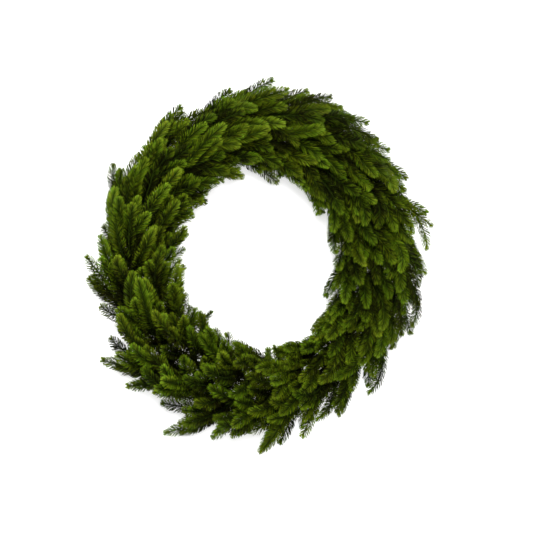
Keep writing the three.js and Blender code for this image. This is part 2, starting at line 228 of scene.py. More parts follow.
circle = [ring_point(2 * math.pi * k / RING_POINTS, RING_RADIUS, RING_WIRE / 2)
          for k in range(RING_POINTS)]
circle_line = line_object("circle", [circle])
circle_line.data.edges.add(1)
circle_line.data.edges[-1].vertices = (RING_POINTS - 1, 0)
ring_wire = mesh_from_tree("ring_wire", circle_line, WIRE_TREE,
                           {"Wire radius": RING_WIRE / 2, "Bend radius": 0.0,
                            "Sides": RING_SIDES, "Closed": True})
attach(ring_wire, "root")
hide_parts("wire_ring_frame")

# --- The clamps --------------------------------------------------------------------------------
# Twelve prongs of 2.4 mm steel wire, welded across the ring and enamelled with it. The maker lays
# a bunch of stems on each and folds its two ends down over them.

BUNCHES = 12
STEP = 2 * math.pi * RING_RADIUS / BUNCHES
# the first bunch's place in steps past the top, and its clamp's in metres from there
FIRST_BUNCH = 0.85
CLAMP_PLACE = -0.007
CLAMP_WIRE = 0.0024
CLAMP_BEND = 0.0026
CLAMP_SIDES = 10
CLAMP_FLOOR = 0.0040
CLAMP_ROOF = 0.0144
# out from the ring's own line, and up
CLAMP_LINE = [(0.0002, CLAMP_ROOF), (-0.0090, CLAMP_ROOF), (-0.0090, CLAMP_FLOOR),
              (0.0109, CLAMP_FLOOR), (0.0109, CLAMP_ROOF), (0.0026, CLAMP_ROOF)]

clamp_lines = []
for bunch in range(BUNCHES):
    angle = (STEP * (bunch + FIRST_BUNCH) + CLAMP_PLACE) / RING_RADIUS
    clamp_lines.append([ring_point(angle, RING_RADIUS + across, up) for across, up in CLAMP_LINE])
ring_clamps = mesh_from_tree("ring_clamps", line_object("clamp_lines", clamp_lines), WIRE_TREE,
                             {"Wire radius": CLAMP_WIRE / 2, "Bend radius": CLAMP_BEND,
                              "Sides": CLAMP_SIDES, "Closed": False})
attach(ring_clamps, "root")
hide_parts("wire_ring_frame")

# --- The fir sprays ----------------------------------------------------------------------------
# Cut tips of fir: a leader with three pairs of side shoots in one flat fan, and eleven more shoots
# that climb off it. A clamp holds four tips as a bunch, and each bunch covers the stems of the one
# before, so that all tips point clockwise.

# face and twist are in degrees, and lag is in steps along the ring
ROWS = [
    {"name": "outer", "face": 14, "lag": 0.0, "twist": 22, "girth": 0.70},
    {"name": "front_outer", "face": 64, "lag": 0.5, "twist": 4, "girth": 0.88},
    {"name": "front_inner", "face": 116, "lag": 0.0, "twist": -4, "girth": 0.88},
    {"name": "inner", "face": 166, "lag": 0.5, "twist": -18, "girth": 0.70},
]
LEADER_LENGTH = 0.140
# how much one spray may differ from the next, with turn, sway and twist in degrees
SCATTER = {"start": 0.006, "turn": 6, "lift": 0.06, "length": 0.08, "sway": 7, "twist": 6}
SETTLE_RUN = 0.045
LEAST_GIRTH = 0.008
SIDE_LENGTHS = [0.084, 0.076, 0.062]
SIDE_PLACES = [0.24, 0.42, 0.60]
SIDE_ANGLE = math.radians(43)
SIDE_SCATTER = {"from": 0.004, "length": 0.14, "angle": math.radians(6), "lift": 0.07}
SIDE_STRAIGHTEN = 0.25
SIDE_STRAIGHTEN_MORE = 0.25
# how a rise and a facing angle become a distance out from the ring and a height
SIDE_SHIFT = 0.20
SIDE_SCALE = 0.83
SIDE_ROUNDING = 0.25
FRONT_SHIFT = 0.54
FRONT_SCALE = 0.68
FRONT_FULLNESS = 0.4
# where the wreath is fuller: how much, how many times round, and where
FULLNESS = [(0.03, 1, 2.3), (0.09, 2, 1.8), (0.045, 3, 4), (0.02, 4, 2.2)]
ROOT_HEIGHT = 0.0024
STEM_OUT = 0.007
RISE_ANGLE = math.radians(37)
BEND_LENGTH = 0.026
SAG = 0.012
SAG_RISE = 0.090
SEED = 41
MIX_EACH = 2654435761
MIX_LAST = 2246822519
WHOLE = 0xFFFFFFFF
# keys that keep the draws for different sizes apart
SIDE_FOOT_KEY = 10
SIDE_KEY = 20
FLIP_KEY = 119
CLIMB_KEY = 120
SHOOT_KEY = 300


def draw(*keys):
    """A seeded draw between 0 and 1. Its keys name the bunch, the row, the shoot and the size."""
    mixed = SEED
    for key in keys:
        mixed = ((mixed ^ (key + 1)) * MIX_EACH) & WHOLE
        mixed ^= mixed >> 15
    mixed = ((mixed ^ (mixed >> 13)) * MIX_LAST) & WHOLE
    mixed ^= mixed >> 16
    return mixed / (WHOLE + 1)


def spread(*keys):
    """The same between -1 and 1."""
    return 2 * draw(*keys) - 1


def fuller_at(angle):
    """How much fuller than elsewhere the wreath is at an angle, clockwise from its top."""
    return sum(much * math.cos(times * angle - turn) for much, times, turn in FULLNESS)


def place(along, rise, face):
    """The point at a distance along the ring, a rise from the wire and a facing angle."""
    angle = along / RING_RADIUS
    fuller = (rise - STEM_OUT) * fuller_at(angle)
    side = math.cos(face) * (1 + SIDE_ROUNDING - SIDE_ROUNDING * math.cos(face) ** 2)
    out = RING_RADIUS + (rise + fuller) * (SIDE_SHIFT + SIDE_SCALE * side)
    front = FRONT_SHIFT + FRONT_SCALE * math.sin(face)
    up = ROOT_HEIGHT + (rise + FRONT_FULLNESS * fuller) * front
    sunk = SAG * (rise / SAG_RISE) ** 2
    return ring_point(angle, out, up) - Vector((0, sunk, 0))


def outward(along, face):
    """The direction that looks straight out of the greenery there."""
    angle = along / RING_RADIUS
    across = FRONT_SCALE * math.cos(face)
    round_off = 1 + SIDE_ROUNDING - 3 * SIDE_ROUNDING * math.cos(face) ** 2
    height = SIDE_SCALE * math.sin(face) * round_off
    return Vector((across * math.sin(angle), across * math.cos(angle), height)).normalized()


def rise_after(run):
    """How far a branch has risen from the wire after a run along it."""
    if run <= 0:
        return STEM_OUT
    return STEM_OUT + math.tan(RISE_ANGLE) * (math.hypot(run, BEND_LENGTH) - BEND_LENGTH)


def smooth(t):
    """Goes from 0 to 1 as t does, level at both ends, and stays there past them."""
    s = min(1.0, max(0.0, t))
    return s * s * (3 - 2 * s)


def spray_plan(bunch, row):
    """The drawn sizes of one spray."""
    kind = ROWS[row]
    start = STEP * (bunch + FIRST_BUNCH + kind["lag"])
    return {
        "bunch": bunch,
        "row": row,
        "start": start + SCATTER["start"] * spread(bunch, row, 1),
        "base": math.radians(kind["face"]),
        "turn": math.radians(SCATTER["turn"]) * spread(bunch, row, 2),
        "lift": SCATTER["lift"] * spread(bunch, row, 3),
        "length": LEADER_LENGTH * (1 + SCATTER["length"] * spread(bunch, row, 4)),
        "sway": math.radians(SCATTER["sway"]) * spread(bunch, row, 5),
        "twist": math.radians(kind["twist"] + SCATTER["twist"] * spread(bunch, row, 8)),
    }


def leader_at(plan, run):
    """The run, rise and facing angle of a place on a spray's leader."""
    settle = smooth(run / SETTLE_RUN)
    along = max(0.0, run / plan["length"])
    rise = rise_after(run) * (1 + plan["lift"] * settle)
    return run, rise, plan["base"] + plan["turn"] * settle + plan["sway"] * along * along


def girth_at(plan, rise):
    """How far a place is from its bunch's middle, to turn a way aside into a facing angle."""
    return ROWS[plan["row"]]["girth"] * rise + LEAST_GIRTH


def side_plan(plan, pair, side):
    """The drawn sizes of one side shoot."""
    key = SIDE_KEY + 2 * pair + (1 if side > 0 else 0)
    own = (plan["bunch"], plan["row"])
    foot = plan["length"] * SIDE_PLACES[pair]
    return {
        "side": side,
        "from": foot + SIDE_SCATTER["from"] * spread(*own, SIDE_FOOT_KEY + pair),
        "length": SIDE_LENGTHS[pair] * (1 + SIDE_SCATTER["length"] * spread(*own, key, 1)),
        "angle": SIDE_ANGLE + SIDE_SCATTER["angle"] * spread(*own, key, 2),
        "straighten": SIDE_STRAIGHTEN + SIDE_STRAIGHTEN_MORE * draw(*own, key, 3),
        "lift": SIDE_SCATTER["lift"] * spread(*own, key, 4),
    }


def side_at(plan, shoot, share):
    """A place on a side shoot, which leaves its leader at an angle and bends forward."""
    left = shoot["angle"] * (1 - shoot["straighten"] * share)
    bend = shoot["angle"] * shoot["straighten"]
    ahead = shoot["length"] * (math.sin(shoot["angle"]) - math.sin(left)) / bend
    aside = shoot["length"] * (math.cos(left) - math.cos(shoot["angle"])) / bend
    run = shoot["from"] + ahead
    level = leader_at(plan, run)[1] * (1 + shoot["lift"] * share)
    rise = level - shoot["side"] * aside * math.sin(plan["twist"])
    turned = shoot["side"] * aside * math.cos(plan["twist"]) / girth_at(plan, level)
    return run, rise, leader_at(plan, shoot["from"])[2] + turned


# The climbing shoots leave the lower leader upwards and make the wreath full: six tall ones that
# bend over at the front of it, and five low ones that fill the space below them.

TALL_FEET = [0.010, 0.066]
TALL_TIPS = [0.080, 0.174]
TALL_ASIDE = [-0.018, 0.022, -0.028, 0.004, 0.031, -0.012]
TALL_SHOOTS = len(TALL_ASIDE)
LOW_FOOT = 0.004
LOW_FOOT_STEP = 0.014
LOW_TIPS = [0.042, 0.068, 0.094, 0.120, 0.146]
LOW_ASIDE = [-0.022, 0.026, -0.006, -0.028, 0.014]
LOW_SHOOTS = len(LOW_ASIDE)
LOW_TOP = 0.052
# one for each of the rows
CLIMBS = [
    {"top": 0.081, "swell": 0.0, "rough": 0.018, "bend": 1.05, "run": 0.86},
    {"top": 0.080, "swell": 0.0, "rough": 0.015, "bend": 2.2, "run": 1.0},
    {"top": 0.080, "swell": 0.06, "rough": 0.015, "bend": 2.2, "run": 1.0},
    {"top": 0.098, "swell": 0.16, "rough": 0.018, "bend": 1.45, "run": 0.86},
]
SWELL_AT = math.radians(150)
CLIMB_SCATTER = {"ahead": 0.010, "aside": 0.012, "swing": 0.030, "top": 0.7}
EVERY_OTHER_TOP = 0.5


def climb_plan(plan, number):
    """The drawn sizes of a shoot that climbs off the lower leader and bends over at the top."""
    own = (plan["bunch"], plan["row"], CLIMB_KEY + number)
    row = CLIMBS[plan["row"]]
    flip = 1 if draw(plan["bunch"], plan["row"], FLIP_KEY) > 0.5 else -1
    if number < TALL_SHOOTS:
        share = number / (TALL_SHOOTS - 1)
        foot = TALL_FEET[0] + (TALL_FEET[1] - TALL_FEET[0]) * share
        tip = TALL_TIPS[0] + (TALL_TIPS[1] - TALL_TIPS[0]) * share
        aside, top = flip * TALL_ASIDE[number], row["top"]
    else:
        low = number - TALL_SHOOTS
        foot = LOW_FOOT + LOW_FOOT_STEP * low
        tip = LOW_TIPS[low]
        aside, top = flip * LOW_ASIDE[low], LOW_TOP
    angle = (plan["start"] + tip) / RING_RADIUS
    top = top * (1 + row["swell"] * math.cos(angle - SWELL_AT))
    uneven = EVERY_OTHER_TOP * (-1) ** number + CLIMB_SCATTER["top"] * spread(*own, 4)
    return {
        "from": foot,
        "ahead": row["run"] * (tip - foot) + CLIMB_SCATTER["ahead"] * spread(*own, 1),
        "aside": aside + CLIMB_SCATTER["aside"] * spread(*own, 2),
        "swing": CLIMB_SCATTER["swing"] * spread(*own, 3),
        "top": top + row["rough"] * uneven,
        "bend": row["bend"],
    }


def climb_at(plan, shoot, share):
    """A place on a climbing shoot: steep at its foot and level at its tip."""
    run, level, face = leader_at(plan, shoot["from"])
    rise = shoot["top"] - (shoot["top"] - level) * (1 - share) ** shoot["bend"]
    aside = shoot["aside"] * share * (2 - share) + shoot["swing"] * share * share
    return run + shoot["ahead"] * share, rise, face + aside / girth_at(plan, rise)


# Each shoot is drawn as a middle line first. Its points carry what the needles need to know: which
# way the flat side looks, the girth of the twig, and how deep in the greenery they are, which
# gives the painted shade deep inside.

LEADER_GIRTH = 0.0022
LEADER_END = 0.9
LEADER_BARE = 0.030
LEADER_REACH = 0.004
STEM_PAST_CLAMP = 0.013
STEM_SCATTER = 0.006
SHOOT_GIRTH = 0.0014
SHOOT_REACH = 0.04
SIDE_END = 0.84
SIDE_BARE = 0.11
CLIMB_END = 0.94
TALL_BARE = 0.20
LOW_BARE = 0.08
GIRTH_TAPER = 0.45
POINT_SPACING = 0.006
FEWEST_STEPS = 4
LOWEST_TWIG = 0.003
LOWEST_EASE = 0.003
FRONTWARD = 2.2
TWIST_RUN = 0.034
ROLL = math.radians(24)
# painted shade: needles are painted darker and more olive the lower they sit in the greenery, fully
# below DEEP_RISE and not at all above DEEP_RISE + DEEP_FADE
DEEP_RISE = 0.020
DEEP_FADE = 0.055
# the olive tint of a shoot: part drawn at random for older shoots, part painted shade with depth
DRAWN_AGE = 0.55
DEPTH_SHADE_OLIVE = 0.45
SHOOT_FACTS = ["flat_side", "girth", "leafy", "shoot_tone", "age", "depth"]


def held_above(height, floor, ease):
    """The height itself well above the floor, eased so that it never comes below it."""
    return height + 0.5 * (floor - height + math.hypot(floor - height, ease))


def spray_point(plan, spot):
    """The point in space of a run, rise and facing angle on a spray."""
    run, rise, face = spot
    return place(plan["start"] + run, rise, face)


def shoot_frame(plan, shoot, at, roll):
    """The point of a place on a shoot and the direction that its flat side looks."""
    run, rise, face = shoot["place"](at)
    point = place(plan["start"] + run, rise, face)
    point.z = held_above(point.z, LOWEST_TWIG, LOWEST_EASE)
    before = spray_point(plan, shoot["place"](at - shoot["reach"]))
    after = spray_point(plan, shoot["place"](at + shoot["reach"]))
    forward = (after - before).normalized()
    normal = outward(plan["start"] + run, face) + Vector((0, 0, FRONTWARD))
    normal = (normal - forward * normal.dot(forward)).normalized()
    turned = plan["twist"] * smooth(run / TWIST_RUN) + roll
    normal.rotate(Matrix.Rotation(turned, 3, forward))
    return point, normal


def spray_shoots(plan):
    """The shoots of a spray: the leader, the side shoots and the climbing shoots.

    Each has a function that gives its places, the first and last place, the metres in one unit of
    place, its girth at the foot, the place where its needles begin, and how far ahead and back a
    place looks for the way that the shoot runs.
    """
    clamp = STEP * (plan["bunch"] + FIRST_BUNCH) + CLAMP_PLACE - plan["start"]
    cut = clamp - STEM_PAST_CLAMP - STEM_SCATTER * draw(plan["bunch"], plan["row"], 6)
    shoots = [{"place": partial(leader_at, plan), "first": cut,
               "last": LEADER_END * plan["length"], "metres": 1.0, "girth": LEADER_GIRTH,
               "bare": LEADER_BARE, "reach": LEADER_REACH}]
    young = {"first": 0.0, "girth": SHOOT_GIRTH, "reach": SHOOT_REACH}
    for pair in range(len(SIDE_PLACES)):
        for side in (-1, 1):
            own = side_plan(plan, pair, side)
            shoots.append(young | {"place": partial(side_at, plan, own), "last": SIDE_END,
                                   "metres": own["length"], "bare": SIDE_BARE})
    for number in range(TALL_SHOOTS + LOW_SHOOTS):
        own = climb_plan(plan, number)
        length = math.hypot(own["ahead"], own["top"] - leader_at(plan, own["from"])[1])
        bare = TALL_BARE if number < TALL_SHOOTS else LOW_BARE
        shoots.append(young | {"place": partial(climb_at, plan, own), "last": CLIMB_END,
                               "metres": length, "bare": bare})
    return shoots


def spray_lines(plan):
    """The middle lines of a spray's shoots, and the facts of each of their points."""
    lines = []
    facts = {label: [] for label in SHOOT_FACTS}
    for number, shoot in enumerate(spray_shoots(plan)):
        own = (plan["bunch"], plan["row"], SHOOT_KEY + number)
        roll = ROLL * spread(*own, 1)
        span = shoot["last"] - shoot["first"]
        count = max(FEWEST_STEPS, round(span * shoot["metres"] / POINT_SPACING))
        line = []
        for k in range(count + 1):
            at = shoot["first"] + span * k / count
            point, normal = shoot_frame(plan, shoot, at, roll)
            # painted shade: how deep in the greenery the point is, which darkens its needles
            deep = 1 - smooth((shoot["place"](at)[1] - DEEP_RISE) / DEEP_FADE)
            line.append(point)
            facts["flat_side"].append(normal)
            facts["girth"].append(shoot["girth"] * (1 - GIRTH_TAPER * k / count))
            facts["leafy"].append(1.0 if at > shoot["bare"] else 0.0)
            facts["shoot_tone"].append(draw(*own, 2))
            # part random, part painted shade: shoots deep in the greenery are tinted olive as if in
            # shade
            facts["age"].append(DRAWN_AGE * draw(*own, 3) + DEPTH_SHADE_OLIVE * deep)
            facts["depth"].append(deep)
        lines.append(line)
    return lines, facts


# --- The needles and buds ----------------------------------------------------------------------
# Flat needles 16 mm long and 1.3 mm wide, set all round the twig but combed to its two sides, those
# on top shorter and closer to it, and a scaly bud at the end of each twig. One mesh of each is made
# here, and the tree sets them on every twig.

NEEDLE_RINGS = [(0.00, 0.60), (0.78, 1.00)]
NEEDLE_SIDES = 3
NEEDLE_WIDTH = 0.080
NEEDLE_THICKNESS = 0.048
KEEL_ABOVE = 0.7
FLAT_BELOW = 0.3
BUD_RINGS = [(-0.2, 0.18), (0.05, 0.30), (0.40, 0.32), (0.80, 0.20)]
BUD_SIDES = 6
BUD_TIP = 1.05
NEEDLE_GREENS = [(0.0, (0.0070, 0.0078, 0.0007, 1)), (0.45, (0.076, 0.115, 0.0035, 1)),
                 (1.0, (0.200, 0.286, 0.019, 1))]
BLUISH = (0.74, 1.07, 0.88, 1)
OLIVE = (1.27, 0.86, 0.88, 1)
PATCHINESS = 0.5
# painted shade and light along each needle: dark at its foot by the twig, light at its tip
FOOT_SHADE = 0.38
TIP_SHADE = 1.30
BARK_BROWNS = [(0.35, (0.006, 0.011, 0.001, 1)), (0.70, (0.018, 0.030, 0.003, 1))]
BUD_BROWNS = [(0.0, (0.024, 0.030, 0.003, 1)), (1.0, (0.050, 0.058, 0.007, 1))]


def pointed_faces(rings, sides):
    """Faces for rings of points that end in a single one: a flat foot, walls and a point."""
    faces = [tuple(reversed(range(sides)))]
    for ring in range(rings - 1):
        for k in range(sides):
            low, next_low = sides * ring + k, sides * ring + (k + 1) % sides
            faces.append((low, next_low, next_low + sides, low + sides))
    top = sides * (rings - 1)
    faces += [(top + k, top + (k + 1) % sides, sides * rings) for k in range(sides)]
    return faces


def needle_mesh():
    """A needle one unit long: three-sided, with a keel above and a flat underside."""
    mesh = bpy.data.meshes.new("needle")
    points = []
    along = []
    for share, size in NEEDLE_RINGS:
        wide = 0.5 * NEEDLE_WIDTH * size
        thick = NEEDLE_THICKNESS * size
        points += [(wide, -FLAT_BELOW * thick, share), (0, KEEL_ABOVE * thick, share),
                   (-wide, -FLAT_BELOW * thick, share)]
        along += [share] * NEEDLE_SIDES
    points.append((0, 0, 1))
    along.append(1.0)
    mesh.from_pydata(points, [], pointed_faces(len(NEEDLE_RINGS), NEEDLE_SIDES))
    fact = mesh.attributes.new("along", "FLOAT", "POINT")
    fact.data.foreach_set("value", along)
    # its own cell of the bake map: the foot in a strip at the bottom, and the walls above it
    spot = mesh.uv_layers.new(name="spot")
    for face in mesh.polygons:
        for k, corner in enumerate(face.loop_indices):
            share = along[mesh.loops[corner].vertex_index]
            if face.index == 0:
                spot.data[corner].uv = (0.25 + 0.25 * k, 0.01 + 0.03 * (k == 1))
            else:
                spot.data[corner].uv = (0.25 + 0.5 * (k in (1, 2)), 0.05 + 0.9 * share)
    return mesh


def bud_mesh():
    """A bud one unit long: a blunt cone, wide at its waist."""
    mesh = bpy.data.meshes.new("bud")
    turns = [math.tau * k / BUD_SIDES for k in range(BUD_SIDES)]
    points = [(size * math.cos(turn), size * math.sin(turn), up)
              for up, size in BUD_RINGS for turn in turns]
    points.append((0, 0, BUD_TIP))
    mesh.from_pydata(points, [], pointed_faces(len(BUD_RINGS), BUD_SIDES))
    return mesh


def loose_object(mesh):
    """An object for the tree to copy from, which is removed once the sprays are made."""
    loose = bpy.data.objects.new(mesh.name, mesh)
    bpy.context.scene.collection.objects.link(loose)
    return loose


needle_pattern = loose_object(needle_mesh())
bud_pattern = loose_object(bud_mesh())


def mottle_group():
    """Slow patches and a fine grain, as two values that change over a plant."""
    group = bpy.data.node_groups.new("mottle", "ShaderNodeTree")
    for label in ("Patch scale", "Grain scale"):
        group.interface.new_socket(label, in_out="INPUT", socket_type="NodeSocketFloat")
    for label in ("Patches", "Grain"):
        group.interface.new_socket(label, in_out="OUTPUT", socket_type="NodeSocketFloat")
    wiring = Wiring(group)
    given = wiring.add("NodeGroupInput").outputs
    where = wiring.add("ShaderNodeTexCoord").outputs["Object"]
    patches = wiring.noise(where, scale=given["Patch scale"], detail=2.0)
    grain = wiring.noise(where, scale=given["Grain scale"], detail=3.0)
    wiring.add("NodeGroupOutput", {"Patches": patches, "Grain": grain})
    return group


MOTTLE = mottle_group()


def mottled(wiring, patch_scale, grain_scale):
    """The mottle group with its own scales, as it sits in one material."""
    feeds = {"Patch scale": patch_scale, "Grain scale": grain_scale}
    return wiring.add("ShaderNodeGroup", feeds, node_tree=MOTTLE).outputs


def colour_run(wiring, value, stops):
    """A run of colours along a value, from places and colours."""
    run = wiring.add("ShaderNodeValToRGB", {"Fac": value})
    elements = run.color_ramp.elements
    for element, (position, colour) in zip(elements, (stops[0], stops[-1])):
        element.position = position
        element.color = colour
    for position, colour in stops[1:-1]:
        elements.new(position).color = colour
    return run.outputs["Color"]


def needle_material():
    """Waxy fir green: each shoot and each needle has its own tone, with painted shade darkening
    each needle towards its foot and painted light making it paler towards the tip.
    """
    material, wiring, surface = new_material("fir_needles")
    tone, along, age, hue = [wiring.add("ShaderNodeAttribute", attribute_name=name).outputs["Fac"]
                             for name in ("tone", "along", "age", "hue")]
    mottle = mottled(wiring, patch_scale=14.0, grain_scale=900.0)
    patch = wiring.math("MULTIPLY_ADD", mottle["Patches"], PATCHINESS, -PATCHINESS / 2)
    green = colour_run(wiring, wiring.math("ADD", tone, patch), NEEDLE_GREENS)
    # painted shade and light: each needle darker at its foot by the twig and lighter at its tip
    green = wiring.scaled(green, wiring.ranged(along, to_min=FOOT_SHADE, to_max=TIP_SHADE))
    # the olive tint: random per shoot and per needle, with painted shade from depth in the greenery
    olive = wiring.math("MULTIPLY", wiring.math("ADD", age, hue), 0.5)
    tinted = wiring.vector("MULTIPLY", green, wiring.mixed(olive, BLUISH, OLIVE))
    wiring.feed(surface, {"Base Color": tinted, "Roughness": 0.55, "Specular IOR Level": 0.03,
                          "Normal": wiring.bump(mottle["Grain"], strength=0.15, distance=0.0003)})
    return material


def bark_material():
    """Young fir bark: olive brown, rough and spotted."""
    material, wiring, surface = new_material("twig_bark")
    mottle = mottled(wiring, patch_scale=160.0, grain_scale=1400.0)
    wiring.feed(surface, {"Base Color": colour_run(wiring, mottle["Patches"], BARK_BROWNS),
                          "Roughness": 0.85, "Specular IOR Level": 0.02,
                          "Normal": wiring.bump(mottle["Grain"], strength=0.5, distance=0.0005)})
    return material


def bud_material():
    """Bud scales, resin brown."""
    material, wiring, surface = new_material("bud_scales")
    mottle = mottled(wiring, patch_scale=600.0, grain_scale=1500.0)
    wiring.feed(surface, {"Base Color": colour_run(wiring, mottle["Patches"], BUD_BROWNS),
                          "Roughness": 0.75, "Specular IOR Level": 0.02})
    return material


NEEDLES = needle_material()
BARK = bark_material()
BUDS = bud_material()

# The tree for a spray takes its lines, and draws the twigs, the needles and the buds. A needle's
# place in the row gives its turn round the twig, by the golden angle, as leaves grow.

SPRAY_SIZES = {
    "Needle length": 0.0162,
    "Needle spacing": 0.00048,
    "Needle pitch": math.radians(51),
    "Needle bend": 0.20,
    "Comb height": 0.60,
    "Tip taper": 0.022,
    "Crowded tip": 0.005,
    "Bud length": 0.0032,
}
CROWDING = 3.0
GOLDEN_ANGLE = math.radians(137.508)
EXTRA_TURN = math.radians(110)
TURN_SCATTER = 0.25
PITCH_SCATTER = 0.09
UPPER_PITCH = 0.66
TIP_PITCH = 0.48
FAN_SCATTER = [-1.0, 0.5]
UPPER_LENGTH = 0.80
TIP_LENGTH = 0.36
LENGTH_SCATTER = [0.88, 1.08]
ROOT_DEPTH = 0.6
SHOOT_TONE = 0.22
SHOOT_TONE_MORE = 0.42
TONE_SCATTER = 0.26
# shoot tips are paler and the older part behind them darker: partly real colour, partly painted
# shade where the next shoots cover it
NEW_GROWTH = 0.034
TIP_TONE = 0.12
OLDER_SHADED_TONE = -0.26
DEPTH_SHADE = 0.48
TABLE_CLEARANCE = 0.006
TWIG_SIDES = 6
NEEDLE_SHARE = 0.92
WOOD_TOP = 0.98
WOOD_GAP = 0.01
WOOD_COLUMNS = 150
WOOD_FILL = 0.4
HELPER_FACTS = ["flat_side", "girth", "leafy", "shoot_tone", "depth", "needle_bend", "needle_turn",
                "needle_length", "bare", "number", "spot"]


class SprayWiring(Wiring):
    """Wiring for the tree of a spray, with its inputs, named facts and seeded draws."""

    def __init__(self, tree):
        super().__init__(tree)
        self.given = self.add("NodeGroupInput").outputs

    def fact(self, name, kind="FLOAT"):
        node = self.add("GeometryNodeInputNamedAttribute", {"Name": name}, data_type=kind)
        return node.outputs[0]

    def kept(self, geometry, name, value, kind="FLOAT", domain="POINT"):
        node = self.add("GeometryNodeStoreNamedAttribute",
                        {"Geometry": geometry, "Name": name, "Value": value},
                        data_type=kind, domain=domain)
        return node.outputs[0]

    def random(self, low, high, salt):
        seed = self.math("ADD", self.given["Seed"], float(salt))
        node = self.add("FunctionNodeRandomValue", {"Seed": seed, 2: low, 3: high})
        return node.outputs[1]

    def painted(self, geometry, material):
        node = self.add("GeometryNodeSetMaterial", {"Geometry": geometry, "Material": material})
        return node.outputs[0]

    def copies(self, pattern, feeds):
        """Copies of a pattern object on points, made real."""
        source = self.add("GeometryNodeObjectInfo", {"Object": pattern, "As Instance": True})
        feeds = feeds | {"Instance": source.outputs["Geometry"]}
        placed = self.add("GeometryNodeInstanceOnPoints", feeds).outputs[0]
        return self.add("GeometryNodeRealizeInstances", {"Geometry": placed}).outputs[0]

    def turned(self, way, upwards):
        """The turn that points a pattern one way with its back upwards."""
        return self.add("FunctionNodeAxesToRotation",
                        {"Primary Axis": way, "Secondary Axis": upwards},
                        primary_axis="Z", secondary_axis="Y").outputs[0]

    def joined(self, *parts):
        node = self.add("GeometryNodeJoinGeometry")
        for part in parts:
            self.tree.links.new(part, node.inputs[0])
        return node.outputs[0]


def twig_axes(wiring):
    """The way that a twig runs at a place, the way to its side and the way its flat side looks."""
    tangent = wiring.add("GeometryNodeInputTangent").outputs[0]
    side = wiring.vector("CROSS_PRODUCT", tangent, wiring.fact("flat_side", "FLOAT_VECTOR"))
    side = wiring.vector("NORMALIZE", side)
    return tangent, side, wiring.vector("CROSS_PRODUCT", side, tangent)


def drawn_twigs(wiring, curve):
    """Round twigs along the lines, closed at both ends."""
    section = wiring.add("GeometryNodeCurvePrimitiveCircle",
                         {"Resolution": TWIG_SIDES, "Radius": 1.0})
    twig = wiring.add("GeometryNodeCurveToMesh",
                      {"Curve": curve, "Profile Curve": section.outputs[0],
                       "Scale": wiring.fact("girth"), "Fill Caps": True})
    twig = wiring.add("GeometryNodeSetShadeSmooth", {"Geometry": twig.outputs[0]}).outputs[0]
    return wiring.painted(twig, BARK)


def set_buds(wiring, curve):
    """A bud on the last point of each line."""
    tangent, side, out = twig_axes(wiring)
    last = wiring.add("GeometryNodeCurveEndpointSelection", {"Start Size": 0, "End Size": 1})
    feeds = {"Points": curve, "Selection": last.outputs[0],
             "Rotation": wiring.turned(tangent, out), "Scale": wiring.given["Bud length"]}
    return wiring.painted(wiring.copies(wiring.given["Bud"], feeds), BUDS)


def way_round(wiring, side, out, index, extra):
    """The way that a needle leaves its twig: all round, but parted and combed to the sides."""
    turned = wiring.math("FLOOR", wiring.math("DIVIDE", index, CROWDING))
    turned = wiring.math("MULTIPLY", turned, GOLDEN_ANGLE)
    turned = wiring.math("ADD", turned, wiring.math("MULTIPLY", extra, EXTRA_TURN))
    turned = wiring.math("ADD", turned, wiring.random(-TURN_SCATTER, TURN_SCATTER, salt=1))
    sideways = wiring.math("COSINE", turned)
    parted = wiring.math("SQRT", wiring.math("ABSOLUTE", sideways))
    combed = wiring.math("MULTIPLY", parted, wiring.math("SIGN", sideways))
    upright = wiring.math("MULTIPLY", wiring.math("SINE", turned), wiring.given["Comb height"])
    radial = wiring.vector("ADD", wiring.scaled(side, combed), wiring.scaled(out, upright))
    return wiring.vector("NORMALIZE", radial)


def needle_tone(wiring, to_end):
    """How light a needle is: by its shoot, by itself, paler at the young tip of its shoot, and with
    painted shade on the older part behind the tip and deep inside the greenery.
    """
    tone = wiring.math("MULTIPLY_ADD", wiring.fact("shoot_tone"), SHOOT_TONE_MORE, SHOOT_TONE)
    tone = wiring.math("ADD", tone, wiring.random(-TONE_SCATTER, TONE_SCATTER, salt=4))
    # paler young tips; the darker older part is partly real colour and partly painted shade under
    # the next shoots
    growth_and_shade = wiring.ranged(to_end, from_max=NEW_GROWTH, to_min=TIP_TONE, to_max=OLDER_SHADED_TONE)
    tone = wiring.math("ADD", tone, growth_and_shade)
    # painted shade: needles deep in the greenery are made darker
    return wiring.math("SUBTRACT", tone, wiring.math("MULTIPLY", wiring.fact("depth"), DEPTH_SHADE))


